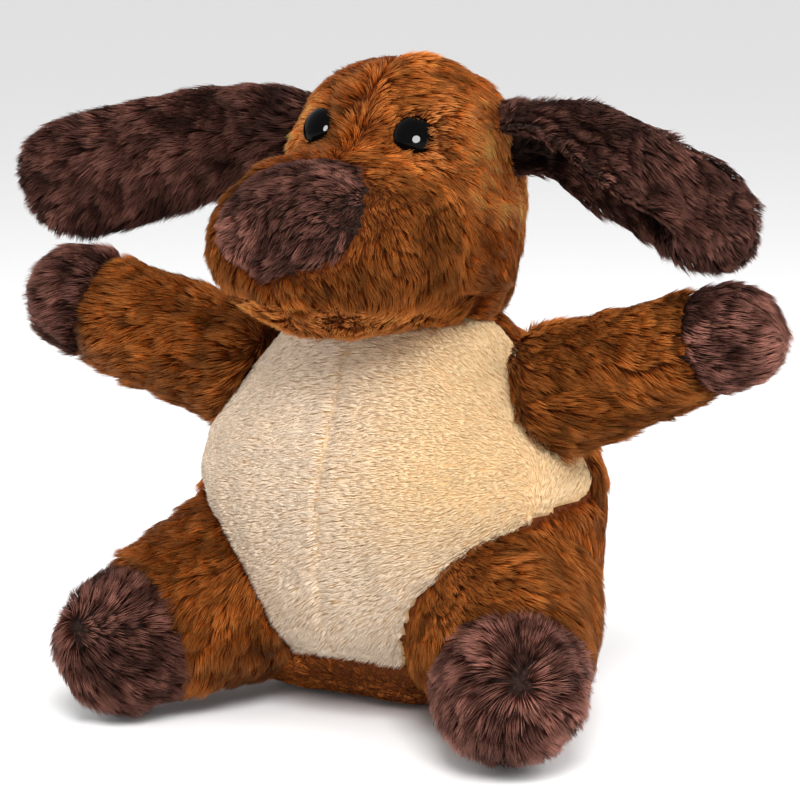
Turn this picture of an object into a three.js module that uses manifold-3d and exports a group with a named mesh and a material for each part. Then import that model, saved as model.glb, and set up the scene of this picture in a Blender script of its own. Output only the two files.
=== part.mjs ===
// Seated plush dog, built as its sewn fabric panels, stuffing, safety eyes and label.
// Millimetres. +Z up, the dog faces -Y, +X is the dog's own left side.
// The origin is the middle of the flat seat, on the surface the toy sits on.
// Every fabric panel is its own closed shell, the seams between panels are 0.3 mm gaps,
// and each limb ends in a rounded root that sits in a hollow of its neighbour, so it can swing.
import * as THREE from "three";
import { mergeVertices } from "three/addons/utils/BufferGeometryUtils.js";
import Module from "manifold-3d";

const wasm = await Module();
wasm.setup();

// ---------------------------------------------------------------- driving dimensions
const SKIN = 2.0; // panel thickness: backing cloth with the packed base of its pile
const SEAM = 0.3; // gap between two sewn panels
const FIT = 0.35; // gap between a panel and the stuffing behind it
const TURN = 1.3; // running gap round a limb root

const TORSO_DEPTH = 0.84; // depth over width of the pear-shaped torso
const TORSO = [
  // radius, height
  [0, 0], [8, 0], [17, 0], [23, 0], [28, 0], [35.5, 2.4], [40.5, 7], [44.5, 14], [47, 24], [48.8, 36],
  [48.8, 47], [46.8, 57], [42.8, 66], [37, 74.5], [30.5, 82], [23, 88], [0, 90],
];
const FRONT_LIFT = 15; // how far the front of the seat curls up between the legs
const BASE_TOP = 15.5; // the base panel is a shallow bowl up to here
// outline of the pale belly panels seen from the front, right-hand half: x, z
const BELLY = [
  [0, 8], [14.5, 8], [15.5, 20], [18, 27.5], [22, 35], [28.5, 40], [36, 43], [42, 46],
  [50, 50], [50, 58], [46.5, 64], [42, 71], [36, 79], [30, 87], [26, 95], [0, 95],
];
const BELLY_BACK = 2; // the belly panels end this far behind the widest point

const HEAD = { x: 0, y: 1, z: 112 }; // middle of the skull, and the centre it turns about
const HEAD_YAW = -8; // degrees: the head is sewn on looking a little to the dog's right
const HEAD_ROLL = 2.5; // degrees: and tipped a little to its left
const SKULL_TOP = [29, 21.6, 42.3]; // radii above the middle
const SKULL_LOW = [29, 24.5, 26]; // radii below the middle
const SKULL_POWER = 2.6; // how boxy the dome is: 2 is an ellipsoid
const MUZZLE = { x: 0, y: -26, z: 113, r: [31, 30, 22] };
const EAR_LINE = 7; // the seam between face and back of head, where the ears go in
const MOUTH_Z = 103; // the seam between face and chin
const CHIN_BACK = -4;
const NOSE = [
  // outline of the nose patch seen from the front, right-hand half: x, z
  [0, 104.5], [3, 107.2], [8, 108.8], [13.5, 110.8], [17.8, 114], [19.4, 118.5],
  [18.6, 124], [15.2, 128.6], [10, 131.8], [4.5, 133.2], [0, 133.5],
];
const EYE = { x: 12.8, y: -15, z: 138.9, r: 5, rise: 3.6, shank: 1.7, out: [0.36, -0.82, 0.45] };

const ARM = {
  root: [41, -3, 77.5], dir: [60, -7, 20], r0: 14.4, r1: 12.2, seam: 40.3, paw: 12.8, length: 59.7,
};
const LEG = { root: [34.3, -17.5, 27.6], dir: [22, -44, -12.6], r0: 22, r1: 16, seam: 30, foot: 16.1, length: 51.5 };
const EAR = {
  from: [28.8, 7, 133.5], thick: 6.4, wadding: 2.2,
  // the middle and the tip of each ear's centre line
  via: { left: [60, 4, 140], right: [60, 4, 137] },
  to: { left: [103, -15, 119.5], right: [103, -15, 113] },
  narrow: { left: 0.78, right: 1 }, // the left ear lies folded along its length, so it is narrower
  // half height of the flap along its length: share of the length, upwards, downwards
  width: [[0, 9, 9.5], [0.12, 10, 10.5], [0.3, 12, 12], [0.5, 14, 14], [0.7, 15, 15], [0.86, 13.5, 13], [0.95, 9.5, 9.5], [1, 0.6, 0.6]],
};
const TAIL = { root: [0, 43.2, 22], dir: [0, 24, 12], r0: 7, r1: 5.2, length: 27 };
const LABEL = { at: [38.5, 11, 7.6], size: [9, 0.8, 7], turn: 20 };

// ---------------------------------------------------------------- solids from three.js geometry
function solid(geometry, matrix) {
  const flat = geometry.index ? geometry.toNonIndexed() : geometry.clone();
  const bare = new THREE.BufferGeometry().setAttribute("position", flat.getAttribute("position"));
  if (matrix) bare.applyMatrix4(matrix);
  const merged = mergeVertices(bare, 1e-4);
  const index = merged.index.array;
  const kept = [];
  for (let i = 0; i < index.length; i += 3) {
    const [a, b, c] = [index[i], index[i + 1], index[i + 2]];
    if (a !== b && b !== c && a !== c) kept.push(a, b, c);
  }
  const make = (tris) =>
    new wasm.Manifold(
      new wasm.Mesh({ numProp: 3, vertProperties: new Float32Array(merged.attributes.position.array), triVerts: new Uint32Array(tris) }),
    );
  const made = make(kept);
  if (made.volume() > 0) return made;
  for (let i = 0; i < kept.length; i += 3) [kept[i + 1], kept[i + 2]] = [kept[i + 2], kept[i + 1]];
  return make(kept);
}

function geometryOf(man) {
  const m = man.getMesh();
  const position = new Float32Array(m.numVert * 3);
  for (let i = 0; i < m.numVert; i++) position.set(m.vertProperties.subarray(i * m.numProp, i * m.numProp + 3), i * 3);
  const g = new THREE.BufferGeometry();
  g.setAttribute("position", new THREE.BufferAttribute(position, 3));
  g.setIndex(new THREE.BufferAttribute(new Uint32Array(m.triVerts), 1));
  g.computeVertexNormals();
  return g;
}

// the largest connected piece of a cut, so that no sliver is left beside a panel
function main(man) {
  return man.decompose().sort((a, b) => b.volume() - a.volume())[0];
}

function roundSolid(r, at, power = 2, across = 16, up = 10) {
  const g = new THREE.SphereGeometry(1, across, up);
  g.rotateX(Math.PI / 2);
  const p = g.getAttribute("position");
  for (let i = 0; i < p.count; i++) {
    const v = [p.getX(i), p.getY(i), p.getZ(i)];
    const k = Math.pow(v.reduce((s, c) => s + Math.pow(Math.abs(c), power), 0), -1 / power);
    p.setXYZ(i, at.x + v[0] * k * r[0], at.y + v[1] * k * r[1], at.z + v[2] * k * r[2]);
  }
  return solid(g);
}

function block(low, high) {
  const g = new THREE.BoxGeometry(high[0] - low[0], high[1] - low[1], high[2] - low[2]);
  g.translate((low[0] + high[0]) / 2, (low[1] + high[1]) / 2, (low[2] + high[2]) / 2);
  return solid(g);
}

// a profile of [radius, height] turned about Z
function turned(profile, segments = 20) {
  const g = new THREE.LatheGeometry(profile.map(([r, z]) => new THREE.Vector2(r, z)), segments);
  g.rotateX(Math.PI / 2);
  return g;
}

// turns a shape made along +Z so that it starts at `at` and runs along `dir`
function aim(at, dir) {
  const q = new THREE.Quaternion().setFromUnitVectors(new THREE.Vector3(0, 0, 1), new THREE.Vector3(...dir).normalize());
  return new THREE.Matrix4().compose(new THREE.Vector3(...at), q, new THREE.Vector3(1, 1, 1));
}

// an outline in X and Z, run along Y from y0 to y1
function slab(outline, y0, y1) {
  const g = new THREE.ExtrudeGeometry(new THREE.Shape(outline.map(([x, z]) => new THREE.Vector2(x, z))), { depth: y1 - y0, bevelEnabled: false });
  g.rotateX(Math.PI / 2);
  g.translate(0, y1, 0);
  return solid(g);
}

const both = (half) => [...half, ...half.slice().reverse().filter(([x]) => x > 0.01).map(([x, z]) => [-x, z])];
// an outline pushed in or out by d, by moving each corner along its own bisector
function grown(outline, d) {
  const n = outline.length;
  const area = outline.reduce((s, [x, z], i) => s + x * outline[(i + 1) % n][1] - outline[(i + 1) % n][0] * z, 0);
  return outline.map(([x, z], i) => {
    const a = outline[(i + n - 1) % n], b = outline[(i + 1) % n];
    const t = new THREE.Vector2(b[0] - a[0], b[1] - a[1]).normalize();
    const s = Math.sign(area) * d;
    return [x + t.y * s, z - t.x * s];
  });
}
// a lathe profile with its wall moved inwards by d
function inset(profile, d) {
  return profile.map(([r, z], i) => {
    const a = profile[Math.max(i - 1, 0)], b = profile[Math.min(i + 1, profile.length - 1)];
    const t = new THREE.Vector2(b[0] - a[0], b[1] - a[1]).normalize();
    if (r === 0) return [0, z + (i === 0 ? d : -d)];
    return [Math.max(r - t.y * d, 0.01), z + t.x * d];
  });
}

// ---------------------------------------------------------------- materials
const cloth = (hex) => new THREE.MeshStandardMaterial({ color: hex, roughness: 0.95, metalness: 0 });
const BROWN = cloth(0x8a4a1c), DARK = cloth(0x4a322b), CREAM = cloth(0xe0c49c), FILL = cloth(0xeeeae2), POUCH = cloth(0xd8d2c4), TAG = cloth(0xe8e6f2);
const BLACK = new THREE.MeshStandardMaterial({ color: 0x050505, roughness: 0.08, metalness: 0 });
const NYLON = new THREE.MeshStandardMaterial({ color: 0xf2f2ee, roughness: 0.5, metalness: 0 });

const dog = new THREE.Group();
dog.name = "plush_dog";
const groups = {};
function group(name, parent = dog) {
  const g = new THREE.Group();
  g.name = name;
  parent.add(g);
  groups[name] = g;
  return g;
}
function add(parent, name, man, material) {
  const mesh = new THREE.Mesh(geometryOf(main(main(man).simplify(0.08))), material);
  mesh.name = name;
  parent.add(mesh);
}

const sides = [["left", 1], ["right", -1]];
const flip = (v, s) => [v[0] * s, v[1], v[2]];
const ball = (at, r, across = 16, up = 10) => roundSolid([r, r, r], { x: at[0], y: at[1], z: at[2] }, 2, across, up);

// ---------------------------------------------------------------- torso
const torso = group("torso");
// the pear: a turned profile, flattened front to back, with the front of the seat curled up
function pear(profile) {
  const g = turned(profile, 20), p = g.getAttribute("position");
  for (let i = 0; i < p.count; i++) {
    const y = p.getY(i) * TORSO_DEPTH, z = p.getZ(i);
    const k = Math.min(Math.max((-7 - y) / 23, 0), 1);
    p.setXYZ(i, p.getX(i), y, z + FRONT_LIFT * k * k * Math.max(1 - z / 32, 0));
  }
  return solid(g);
}
const torsoOuter = pear(TORSO);
const torsoInner = pear(inset(TORSO, SKIN));
const torsoFill = pear(inset(TORSO, SKIN + FIT));

// hollows that the head, arms, legs and tail turn in
let hollows = roundSolid(SKULL_LOW.map((r) => r + 2.2), HEAD, 2, 18, 10).add(
  roundSolid([33, 33, 29], HEAD, 2, 18, 10).intersect(block([-60, -60, 85.5], [60, 60, 140])),
);
for (const [, s] of sides) {
  hollows = hollows.add(ball(flip(ARM.root, s), ARM.r0 + TURN));
  hollows = hollows.add(ball(flip(LEG.root, s), LEG.r0 + TURN));
}
hollows = hollows.add(ball(TAIL.root, TAIL.r0 + TURN));

const torsoShell = torsoOuter.subtract(torsoInner).subtract(hollows);
const bellyPrism = slab(both(BELLY), -70, BELLY_BACK);
const bellyCut = slab(grown(both(BELLY), SEAM), -71, BELLY_BACK + SEAM);
const above = block([-70, -70, BASE_TOP + SEAM], [70, 70, 120]);
for (const [side, s] of sides) {
  const half = s > 0 ? block([SEAM / 2, -70, -5], [70, 70, 120]) : block([-70, -70, -5], [-SEAM / 2, 70, 120]);
  add(torso, "belly_panel_" + side, torsoShell.intersect(bellyPrism).intersect(above).intersect(half), CREAM);
  add(torso, "back_panel_" + side, torsoShell.subtract(bellyCut).intersect(above).intersect(half), BROWN);
}
add(torso, "base_panel", torsoShell.intersect(block([-70, -70, -5], [70, 70, BASE_TOP])), BROWN);

// a cloth pouch of pellets in the seat, under the fibre filling
const seatScale = new THREE.Matrix4().makeScale(1, TORSO_DEPTH, 1).setPosition(0, 11, 0);
const pouchShape = solid(turned([[0, 3.2], [16, 3.2], [20, 5.5], [21.5, 9], [20, 13], [15, 16.5], [0, 18]], 14), seatScale);
const pouchRoom = solid(turned([[0, 2], [16.4, 2], [20.6, 5.2], [22.2, 9], [20.6, 13.4], [15.3, 17.1], [0, 18.7]], 14), seatScale);
const footRoom = hollows.intersect(block([-70, -70, -5], [70, 70, 60]));
add(torso, "pellet_pouch", pouchShape.subtract(footRoom), POUCH);
// the fibre filling stops under the neck, where the neck filling sits
const neckRoom = solid(turned([[0, 78.6], [13.4, 78.6], [13.4, 99], [0, 99]], 16));
add(torso, "torso_stuffing", torsoFill.subtract(hollows).subtract(pouchRoom).subtract(neckRoom), FILL);

// sewn-in care label at the left side seam, low down: a blank folded tab
const labelGeometry = new THREE.BoxGeometry(...LABEL.size);
labelGeometry.translate(LABEL.size[0] / 2, 0, 0);
labelGeometry.rotateZ((LABEL.turn * Math.PI) / 180);
labelGeometry.translate(...LABEL.at);
const grownTorso = pear(inset(TORSO, -0.3));
add(torso, "care_label", solid(labelGeometry).subtract(grownTorso), TAG);

// ---------------------------------------------------------------- neck filling, which turns with the head
const neck = group("neck");
add(neck, "neck_stuffing", solid(turned([[0, 79.2], [9, 79.2], [12, 80.4], [12.6, 82.4], [11, 84], [0, 84.6]], 16), new THREE.Matrix4().makeTranslation(0, HEAD.y * 0.3, 0)), FILL);

// ---------------------------------------------------------------- head, in its own group, turned a little to the right
const headTurn = group("head");
headTurn.position.set(HEAD.x, HEAD.y, HEAD.z);
headTurn.rotation.set(0, (HEAD_ROLL * Math.PI) / 180, (HEAD_YAW * Math.PI) / 180, "ZYX");
const head = group("head_parts", headTurn);
head.position.z = -HEAD.z;
const inHead = (v) => [v[0], v[1] - HEAD.y, v[2]];
function skull(less) {
  const at = { x: 0, y: 0, z: HEAD.z };
  const top = roundSolid(SKULL_TOP.map((r) => r - less), at, SKULL_POWER, 18, 12).intersect(block([-60, -60, HEAD.z - 0.01], [60, 60, 200]));
  const low = roundSolid(SKULL_LOW.map((r) => r - less), at, 2.05, 18, 12).intersect(block([-60, -60, 0], [60, 60, HEAD.z + 0.01]));
  const muzzle = roundSolid(MUZZLE.r.map((r) => r - less), { x: 0, y: MUZZLE.y - HEAD.y, z: MUZZLE.z }, 2.15, 20, 12);
  return top.add(low).add(muzzle);
}
const headShell = skull(0).subtract(skull(SKIN));
const headFill = skull(SKIN + FIT);
const earLine = EAR_LINE - HEAD.y;
const noseOutline = both(NOSE);
const nosePrism = slab(noseOutline, -80, -30);
const noseCut = slab(grown(noseOutline, SEAM), -81, -29);
const chinBlock = block([-60, -90, 60], [60, CHIN_BACK - HEAD.y, MOUTH_Z]);
const chinCut = block([-60, -90, 60], [60, CHIN_BACK - HEAD.y + SEAM, MOUTH_Z + SEAM]);

let eyeHoles = null, eyeRooms = null;
for (const [side, s] of sides) {
  const at = inHead(flip([EYE.x, EYE.y, EYE.z], s)), out = flip(EYE.out, s), put = aim(at, out);
  const dome = [];
  for (let i = 0; i <= 5; i++) {
    const a = (i / 5) * (Math.PI / 2);
    dome.push([EYE.r * Math.cos(a), 0.9 + EYE.rise * Math.sin(a)]);
  }
  dome[5][0] = 0;
  const eye = [[0, -8.4], [EYE.shank * 0.7, -8.4], [EYE.shank, -7.6], [EYE.shank, 0.15], [EYE.r * 0.93, 0.15], ...dome];
  add(head, "eye_" + side, solid(turned(eye, 14), put), BLACK);
  const washer = [[EYE.shank + 0.3, -5.6], [6, -5.6], [6, -4.4], [EYE.shank + 0.3, -4.4], [EYE.shank + 0.3, -5.6]];
  add(head, "eye_washer_" + side, solid(turned(washer, 10), put), NYLON);
  const hole = solid(turned([[0, -10], [EYE.shank + 0.3, -10], [EYE.shank + 0.3, 0], [0, 0]], 8), put).add(
    solid(turned([[0, -0.15], [EYE.r + 0.4, -0.15], [EYE.r + 0.4, 9], [0, 9]], 12), put),
  );
  const room = solid(turned([[0, -10], [EYE.shank + 0.35, -10], [EYE.shank + 0.35, -6.2], [6.5, -6.2], [6.5, 9], [0, 9]], 8), put);
  eyeHoles = eyeHoles ? eyeHoles.add(hole) : hole;
  eyeRooms = eyeRooms ? eyeRooms.add(room) : room;
}

const front = block([-60, -90, 60], [60, earLine, 200]);
const behind = block([-60, earLine + SEAM, 60], [60, 90, 200]);
for (const [side, s] of sides) {
  const half = s > 0 ? block([SEAM / 2, -90, 60], [60, 90, 200]) : block([-60, -90, 60], [-SEAM / 2, 90, 200]);
  add(head, "face_panel_" + side, headShell.intersect(front).subtract(noseCut).subtract(chinCut).intersect(half).subtract(eyeHoles), BROWN);
  add(head, "head_back_panel_" + side, headShell.intersect(behind).intersect(half), BROWN);
}
add(head, "chin_panel", headShell.intersect(chinBlock).subtract(noseCut), BROWN);
add(head, "nose_patch", headShell.intersect(nosePrism), DARK);
add(head, "head_stuffing", headFill.subtract(eyeRooms), FILL);

// ---------------------------------------------------------------- ears: two panels with thin wadding, bent along a drooping curve
function earPoint(t, s) {
  const side = s > 0 ? "left" : "right";
  const [a, b, c] = [EAR.from, EAR.via[side], EAR.to[side]].map((v) => new THREE.Vector3(...inHead(v)));
  return a.multiplyScalar((1 - t) * (1 - t)).addScaledVector(b, 2 * t * (1 - t)).addScaledVector(c, t * t);
}
function earFrame(t, s) {
  const along = earPoint(t + 0.01, s).sub(earPoint(t - 0.01, s)).normalize();
  const up = new THREE.Vector3(-0.42 * (1 - t), 0.12 * t, 1);
  up.addScaledVector(along, -up.dot(along)).normalize();
  return { up, face: new THREE.Vector3().crossVectors(up, along).normalize() };
}
// one layer of the flap between two depths, pulled in from the outline by `less`
function earLayer(s, d0, d1, less) {
  const narrow = s > 0 ? EAR.narrow.left : EAR.narrow.right;
  const steps = 9, cross = [-1, -0.6, 0, 0.6, 1];
  const outline = (t) => {
    const w = EAR.width;
    let i = 1;
    while (i < w.length - 1 && t > w[i][0]) i++;
    const k = (t - w[i - 1][0]) / (w[i][0] - w[i - 1][0]);
    const fold = 1 - (1 - narrow) * Math.min(t * 4, 1);
    return [(w[i - 1][1] + k * (w[i][1] - w[i - 1][1])) * fold, (w[i - 1][2] + k * (w[i][2] - w[i - 1][2])) * fold];
  };
  const g = new THREE.BoxGeometry(1, 1, 1, steps, cross.length - 1, 1);
  const p = g.getAttribute("position");
  for (let i = 0; i < p.count; i++) {
    const t0 = p.getX(i) + 0.5, j = Math.round((p.getY(i) + 0.5) * (cross.length - 1));
    const t = less / 84 + Math.pow(t0, 0.8) * (1 - (3.2 * less) / 84);
    const [u, d] = outline(Math.min(t, 0.998));
    const c = cross[j], half = c > 0 ? Math.max(u - less, 0.3) : Math.max(d - less, 0.3);
    // the flap is thinner towards its rim, where the two panels are sewn
    const rim = Math.sqrt(Math.max(1 - Math.abs(c) ** 4, 0.16)), end = Math.min(1, 0.35 + (1 - t) * 6, 0.5 + t * 6);
    const depth = p.getZ(i) > 0 ? d1 : d0;
    const q = earPoint(t, s), f = earFrame(t, s);
    q.addScaledVector(f.up, c * half).addScaledVector(f.face, depth * (Math.abs(depth) > 0.5 ? Math.max(rim * end, 0.42) : 1));
    p.setXYZ(i, q.x * s, q.y, q.z);
  }
  return solid(g);
}
for (const [side, s] of sides) {
  const g = group("ear_" + side, head);
  const t = EAR.thick / 2, w = EAR.wadding / 2;
  const fill = earLayer(s, -w, w, 4);
  const fillRoom = earLayer(s, -w - 0.8, w + 0.8, 2.8);
  add(g, "ear_" + side + "_front_panel", earLayer(s, -t, -0.16, 0).subtract(fillRoom), DARK);
  add(g, "ear_" + side + "_back_panel", earLayer(s, 0.16, t, 0).subtract(fillRoom), DARK);
  add(g, "ear_" + side + "_wadding", fill, FILL);
}

// ---------------------------------------------------------------- arms and legs: tubes with a rounded root and a dark end
function limb(spec, end, less) {
  // profile along the limb, rounded root at 0, blunt rounded tip at length
  const r0 = spec.r0 - less, out = [];
  for (let i = 0; i <= 4; i++) {
    const a = (i / 4) * (Math.PI / 2);
    out.push([r0 * Math.sin(a), -r0 * Math.cos(a)]);
  }
  out[0][0] = 0;
  out.push([spec.r1 - less, spec.seam]);
  const tip = spec.length - less, big = end - less, middle = tip - big * 0.92;
  if (middle > spec.seam + 3) out.push([big, middle]);
  for (let i = 1; i <= 4; i++) {
    const a = (i / 4) * (Math.PI / 2);
    out.push([big * Math.cos(a), middle + (tip - middle) * Math.sin(a)]);
  }
  out[out.length - 1][0] = 0;
  return out;
}
function limbParts(parent, prefix, spec, end, s, names, capName, segments) {
  const root = flip(spec.root, s), dir = flip(spec.dir, s), put = aim(root, dir);
  const outer = solid(turned(limb(spec, end, 0), segments), put);
  const inner = solid(turned(limb(spec, end, SKIN), segments), put);
  const fill = solid(turned(limb(spec, end, SKIN + FIT), segments), put);
  const shell = outer.subtract(inner);
  const tube = solid(turned([[0, -40], [40, -40], [40, spec.seam], [0, spec.seam]], 12), put);
  const cap = solid(turned([[0, spec.seam + SEAM], [40, spec.seam + SEAM], [40, 90], [0, 90]], 12), put);
  // the tube is two panels, split by the level plane through the limb
  const level = (hi) => {
    const g = new THREE.BoxGeometry(200, 200, 60);
    g.translate(0, 0, hi ? 30 + SEAM / 2 : -30 - SEAM / 2);
    const tilt = new THREE.Vector3(...dir).normalize();
    g.applyMatrix4(new THREE.Matrix4().makeRotationFromQuaternion(new THREE.Quaternion().setFromUnitVectors(new THREE.Vector3(tilt.x, tilt.y, 0).normalize(), tilt)));
    g.translate(...root);
    return solid(g);
  };
  add(parent, prefix + names[0], shell.intersect(tube).intersect(level(true)), BROWN);
  add(parent, prefix + names[1], shell.intersect(tube).intersect(level(false)), BROWN);
  add(parent, prefix + capName, shell.intersect(cap), DARK);
  add(parent, prefix + "_stuffing", fill, FILL);
}
for (const [side, s] of sides) {
  limbParts(group("arm_" + side), "arm_" + side, ARM, ARM.paw, s, ["_upper_panel", "_lower_panel"], "_paw_panel", 14);
  limbParts(group("leg_" + side), "leg_" + side, LEG, LEG.foot, s, ["_upper_panel", "_lower_panel"], "_foot_panel", 14);
}

// ---------------------------------------------------------------- tail
const tail = group("tail");
const tailSpec = { ...TAIL, seam: 14 };
const tailPut = aim(TAIL.root, TAIL.dir);
add(tail, "tail_panel", solid(turned(limb(tailSpec, TAIL.r1, 0), 10), tailPut).subtract(solid(turned(limb(tailSpec, TAIL.r1, 1.6), 10), tailPut)).subtract(solid(turned([[0, -12], [3.4, -12], [3.4, 0], [0, 0]], 12), tailPut)), BROWN);
add(tail, "tail_stuffing", solid(turned(limb(tailSpec, TAIL.r1, 1.95), 10), tailPut), FILL);

export default dog;
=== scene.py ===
# Looks for the seated plush dog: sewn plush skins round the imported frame, pile as real strands,
# glossy safety eyes, a blank care label, a pale floor, soft studio light and the camera.
import bpy
import math
import numpy as np
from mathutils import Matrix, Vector
from mathutils.kdtree import KDTree


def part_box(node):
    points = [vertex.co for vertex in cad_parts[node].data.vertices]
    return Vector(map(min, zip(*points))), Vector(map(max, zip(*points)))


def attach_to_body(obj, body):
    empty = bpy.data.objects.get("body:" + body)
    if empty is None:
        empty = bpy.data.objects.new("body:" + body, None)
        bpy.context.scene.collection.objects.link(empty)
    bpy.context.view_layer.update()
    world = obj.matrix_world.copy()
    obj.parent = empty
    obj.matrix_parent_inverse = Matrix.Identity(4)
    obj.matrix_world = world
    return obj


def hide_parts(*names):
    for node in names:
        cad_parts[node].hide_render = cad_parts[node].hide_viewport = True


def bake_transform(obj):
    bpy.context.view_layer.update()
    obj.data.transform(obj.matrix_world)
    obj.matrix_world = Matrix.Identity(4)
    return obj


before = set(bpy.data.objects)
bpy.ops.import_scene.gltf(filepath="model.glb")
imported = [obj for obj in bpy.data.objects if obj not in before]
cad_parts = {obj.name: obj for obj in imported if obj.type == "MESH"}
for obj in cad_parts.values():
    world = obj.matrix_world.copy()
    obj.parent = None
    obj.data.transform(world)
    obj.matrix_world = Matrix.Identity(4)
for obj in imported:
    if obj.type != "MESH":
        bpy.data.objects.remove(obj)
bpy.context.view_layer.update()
MM = 0.001

# ------------------------------------------------------------------ small vector helpers


def unit(v):
    return v / np.maximum(np.linalg.norm(v, axis=-1, keepdims=True), 1e-9)


def smooth(a, b, x):
    """0 at a, 1 at b, eased; a may be the larger."""
    t = np.clip((x - a) / (b - a), 0, 1)
    return t * t * (3 - 2 * t)


def smin(a, b, k):
    h = np.clip(0.5 + 0.5 * (b - a) / k, 0, 1)
    return b * (1 - h) + a * h - k * h * (1 - h)


def smax(a, b, k):
    return -smin(-a, -b, k)


def lattice(ix, iy, iz, seed):
    h = (ix * 73856093) ^ (iy * 19349663) ^ (iz * 83492791) ^ (seed * 961748927)
    h = (h ^ (h >> 13)) & 0xFFFFFFFF
    h = (h * 1540483477) & 0xFFFFFFFF
    h = (h ^ (h >> 15)) & 0xFFFFFFFF
    h = (h * 668265263) & 0xFFFFFFFF
    return ((h ^ (h >> 16)) & 0xFFFFFF) / float(0xFFFFFF) * 2 - 1


def noise(p, size, seed):
    """Smooth lattice noise in -1..1 at that feature size, in millimetres."""
    q = p / size + 137.5
    i = np.floor(q).astype(np.int64)
    f = q - i
    u = f * f * f * (f * (f * 6 - 15) + 10)
    out = 0
    for dx in (0, 1):
        for dy in (0, 1):
            for dz in (0, 1):
                w = (
                    (u[..., 0] if dx else 1 - u[..., 0])
                    * (u[..., 1] if dy else 1 - u[..., 1])
                    * (u[..., 2] if dz else 1 - u[..., 2])
                )
                out = out + w * lattice(i[..., 0] + dx, i[..., 1] + dy, i[..., 2] + dz, seed)
    return out


# ------------------------------------------------------------------ shapes, in millimetres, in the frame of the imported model
TORSO_DEPTH = 0.84
PROFILE = np.array([[28, 0], [35.5, 2.4], [40.5, 7], [44.5, 14], [47.2, 24], [49.4, 36], [50.0, 47], [49.6, 57], [46.8, 66],
                    [41.0, 74.5], [37.0, 80], [32.5, 86], [28.0, 91], [22.0, 96], [14, 100], [6, 103.5], [0, 105]], float)
FRONT_LIFT = 15.2
BASE_TOP = 15.5
BELLY = [(0, 8), (14.5, 8), (15.5, 20), (18, 27.5), (22, 35), (28.5, 40), (35, 44.5), (41, 49.5), (50, 55), (50, 59), (46.5, 64),
         (42, 71), (36, 79), (30, 87), (26, 95), (0, 95)]
BELLY_BACK = 2.0
HEAD_C = np.array([0.0, 1.0, 112.0])
HEAD_YAW, HEAD_ROLL = -8.0, 2.5
NOSE = [(0, 107.6), (3, 109.8), (8, 111.2), (13.2, 113.0), (17.2, 116), (18.6, 120), (17.8, 125), (14.8, 129.2),
        (10, 131.8), (4.5, 133.2), (0, 133.5)]
EYE = dict(at=np.array([12.8, -15.0, 138.9]), r=5.0, rise=3.6, out=np.array([0.36, -0.82, 0.45]))
EAR_FROM = {"left": np.array([28.8, 7, 135.6]), "right": np.array([28.8, 7, 133.5])}
EAR_VIA = {"left": np.array([60, 4, 141.6]), "right": np.array([60, 4, 136.4])}
EAR_TO = {"left": np.array([98.6, -15, 121.0]), "right": np.array([104.5, -15, 114.0])}
EAR_W = {
    # share of the length, then the half widths above and below the middle
    "left": np.array([[0, 10.7, 5.0], [0.08, 10.2, 6.8], [0.17, 10.6, 9.8], [0.25, 11.2, 11.6], [0.33, 11.6, 12.6], [0.5, 11.6, 14.4],
                      [0.67, 11.4, 13.6], [0.83, 10.4, 11.2], [0.92, 9.0, 8.0], [0.97, 5.6, 4.8], [0.995, 0.6, 0.6]]),
    "right": np.array([[0, 10, 9.5], [0.12, 10.6, 10.5], [0.25, 11.4, 12], [0.42, 12.0, 13], [0.58, 12.3, 14.6], [0.75, 13.3, 15.6],
                       [0.86, 13.8, 14.2], [0.94, 12.4, 11.4], [0.985, 8.8, 7.4], [1.01, 0.6, 0.6]]),
}
EAR_EDGE = np.array([[0, 0.5], [0.08, 1.2], [0.17, 1.7], [0.25, 1.0], [0.33, -1.4], [0.42, -3.3], [0.5, -5.0], [0.58, -6.2], [0.67, -7.6], [0.8, -9.0]])
EAR_EDGE[:, 1] += 4.6
EAR_LEN = 84.0
ARM = dict(root=np.array([41, -3, 78.7]), dir=np.array([60, -7, 20.6]), r0=14.6, r1=11.5, tip=59.2, seam=40.3)
LEG = dict(root=np.array([34.3, -17.5, 27.6]), dir=np.array([22, -44, -12.6]), r0=22.4, r1=15.0, tip=50.6, seam=30.0)
TAIL = dict(root=np.array([0, 43.2, 22.0]), dir=np.array([0, 24, 12.0]), r0=7.0, r1=5.2, tip=27.0, seam=14.0)

a, b = math.radians(HEAD_YAW), math.radians(HEAD_ROLL)
HEAD_R = np.array([[math.cos(a), -math.sin(a), 0], [math.sin(a), math.cos(a), 0], [0, 0, 1]]) @ np.array(
    [[math.cos(b), 0, math.sin(b)], [0, 1, 0], [-math.sin(b), 0, math.cos(b)]])


def to_head(p):
    return (p - HEAD_C) @ HEAD_R


def from_head(q):
    return q @ HEAD_R.T + HEAD_C


def rounded(q, c, r, n=2.0):
    d = (q - np.asarray(c, float)) / r
    m = np.maximum(np.abs(d), 1e-6)
    n_ = n[..., None] if isinstance(n, np.ndarray) else n
    k = np.sum(m ** n_, -1) ** (1.0 / n)
    g = (k[..., None] ** (1 - n_)) * m ** (n_ - 1) / r
    return (k - 1) / np.maximum(np.linalg.norm(g, axis=-1), 1e-4)


def round_cone(p, at, d, length, r0, r1):
    d = d / np.linalg.norm(d)
    q = p - at
    s = q @ d
    rho = np.linalg.norm(q - s[..., None] * d, axis=-1)
    bb = (r0 - r1) / length
    aa = math.sqrt(1 - bb * bb)
    k = -bb * rho + aa * s
    f = rho * aa + s * bb - r0
    f = np.where(k < 0, np.sqrt(rho ** 2 + s ** 2) - r0, f)
    return np.where(k > aa * length, np.sqrt(rho ** 2 + (s - length) ** 2) - r1, f)


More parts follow.
